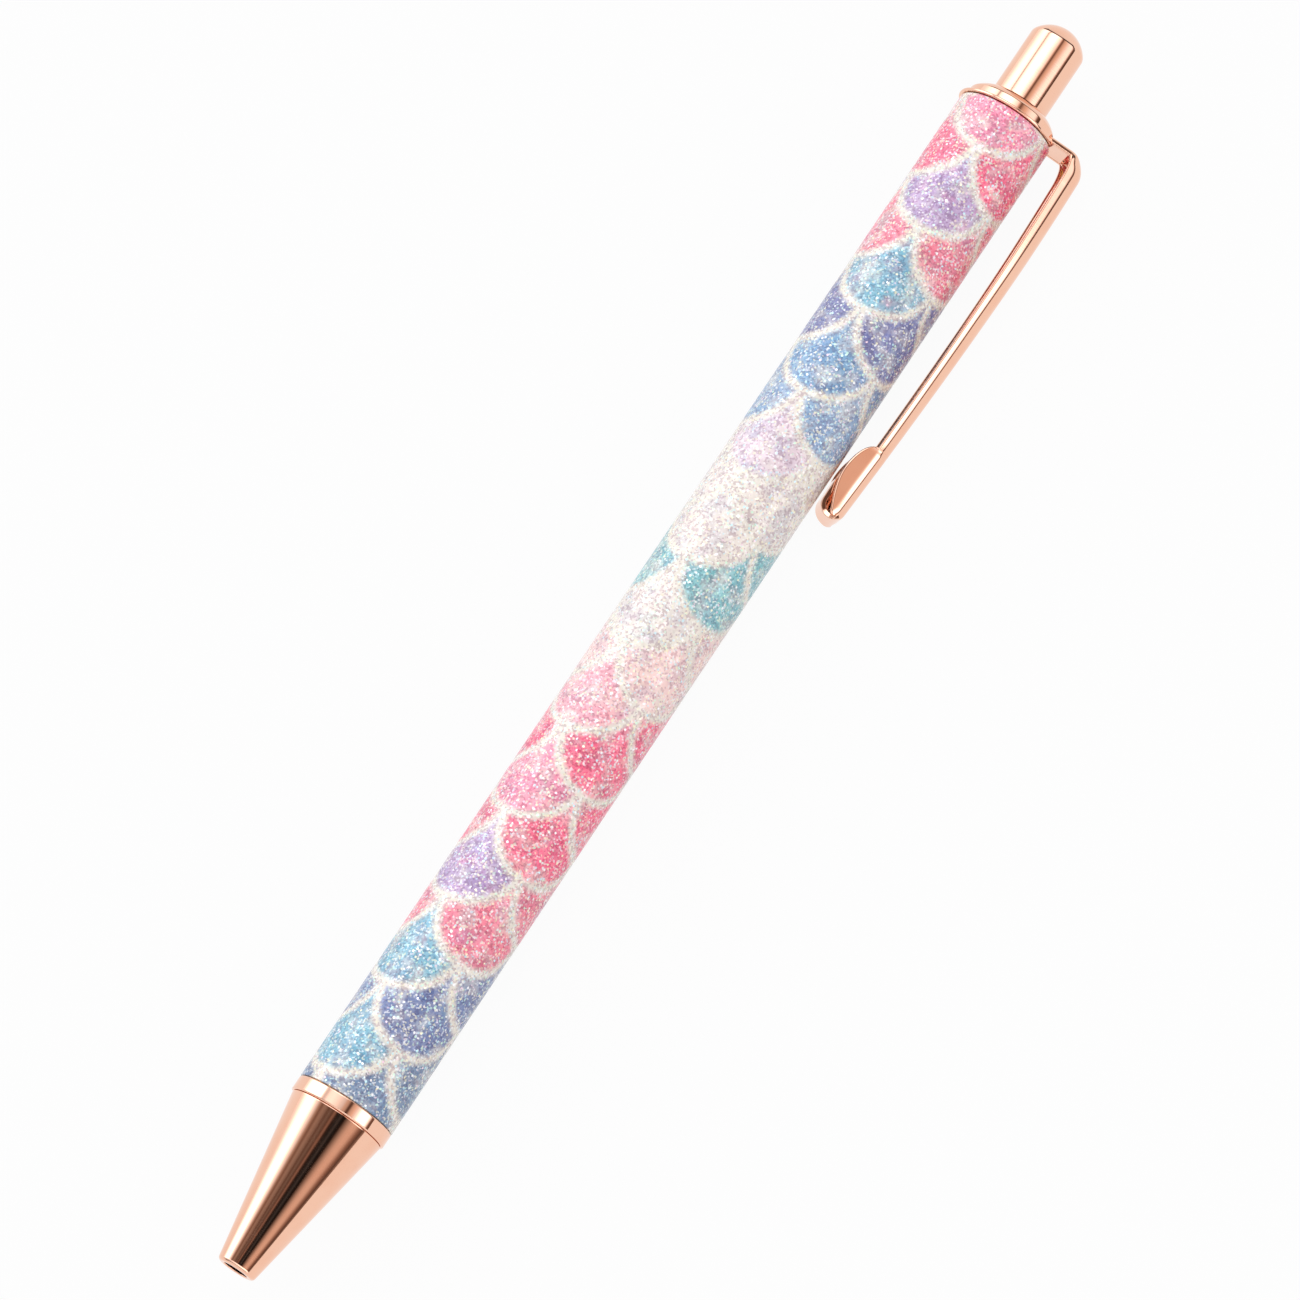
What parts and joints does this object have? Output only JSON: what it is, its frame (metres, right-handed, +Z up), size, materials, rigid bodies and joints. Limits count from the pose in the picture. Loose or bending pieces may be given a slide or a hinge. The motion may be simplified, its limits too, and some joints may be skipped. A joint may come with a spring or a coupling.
{
  "type": "gel pen",
  "caption": "Retractable gel pen: film-wrapped metal barrel, conical metal nose, domed collar, push button with click mechanism, and a stamped pocket clip.",
  "frame": {"origin": "on the surface that the pen lies on, below the middle of its box", "axes": "+X along the pen from the writing end to the push button, +Z up, the clip toward -Y and turned down until its edge touches the surface"},
  "size_m": [0.1432, 0.0142, 0.0106],
  "materials": {
    "rose_gold": "polished rose-gold plate on brass",
    "glitter_film": "clear-coated glitter film with a printed fish-scale pattern in pinks, lavender, aqua and cream",
    "tube_brass": "plain turned brass",
    "black_plastic": "moulded acetal",
    "white_plastic": "moulded polypropylene",
    "steel": "stainless steel",
    "clear_plastic": "translucent ink tube",
    "ink": "black gel ink",
    "grease": "clear amber grease"
  },
  "bodies": {
    "barrel": {"barrel_tube": "tube_brass", "glitter_wrap": "glitter_film", "thread_bush": "tube_brass", "top_bush": "tube_brass", "cam_sleeve": "black_plastic", "top_collar": "rose_gold"},
    "clip": {"clip": "rose_gold"},
    "button": {"push_button": "rose_gold", "plunger": "white_plastic"},
    "refill": {"tip_holder": "white_plastic", "point": "steel", "writing_ball": "steel", "refill_tube": "clear_plastic", "gel_ink": "ink", "ink_follower": "grease", "tail_plug": "white_plastic"},
    "rotor": {"rotor": "black_plastic"},
    "nose_carrier": {"nose_ring": "rose_gold", "return_spring": "steel"},
    "nose": {"nose_cone": "rose_gold"}
  },
  "joints": [
    {"name": "button_press", "type": "slide", "parent": "barrel", "child": "button", "axis": [-1, 0, 0], "range_m": [0, 0.0065], "stiffness_N_per_m": 180, "springref_m": -0.0045},
    {"name": "refill_feed", "type": "slide", "parent": "barrel", "child": "refill", "axis": [-1, 0, 0], "range_m": [0, 0.0058], "deforming": ["return_spring"]},
    {"name": "rotor_turn", "type": "hinge", "parent": "refill", "child": "rotor", "pos_m": [0.04826, 0.00185, 0.00528], "axis": [1, 0, 0], "range_deg": [0, 18.1]},
    {"name": "clip_flex", "type": "hinge", "parent": "barrel", "child": "clip", "pos_m": [0.06112, -0.00221, 0.00359], "axis": [0, -0.3835, 0.9235], "range_deg": [0, 4], "stiffness_Nm_per_rad": 1.2},
    {"name": "nose_draw", "type": "slide", "parent": "barrel", "child": "nose_carrier", "axis": [-1, 0, 0], "range_m": [0, 0.0075]},
    {"name": "nose_turn", "type": "hinge", "parent": "nose_carrier", "child": "nose", "pos_m": [-0.0534, 0.00185, 0.00528], "axis": [-1, 0, 0], "range_deg": [0, 3602]}
  ],
  "couplings": [
    {"joint": "refill_feed", "follows": "button_press", "ratio": 0.88923},
    {"joint": "rotor_turn", "follows": "button_press", "rad_per_m": 48.332},
    {"joint": "nose_turn", "follows": "nose_draw", "rad_per_m": 8377.6}
  ]
}
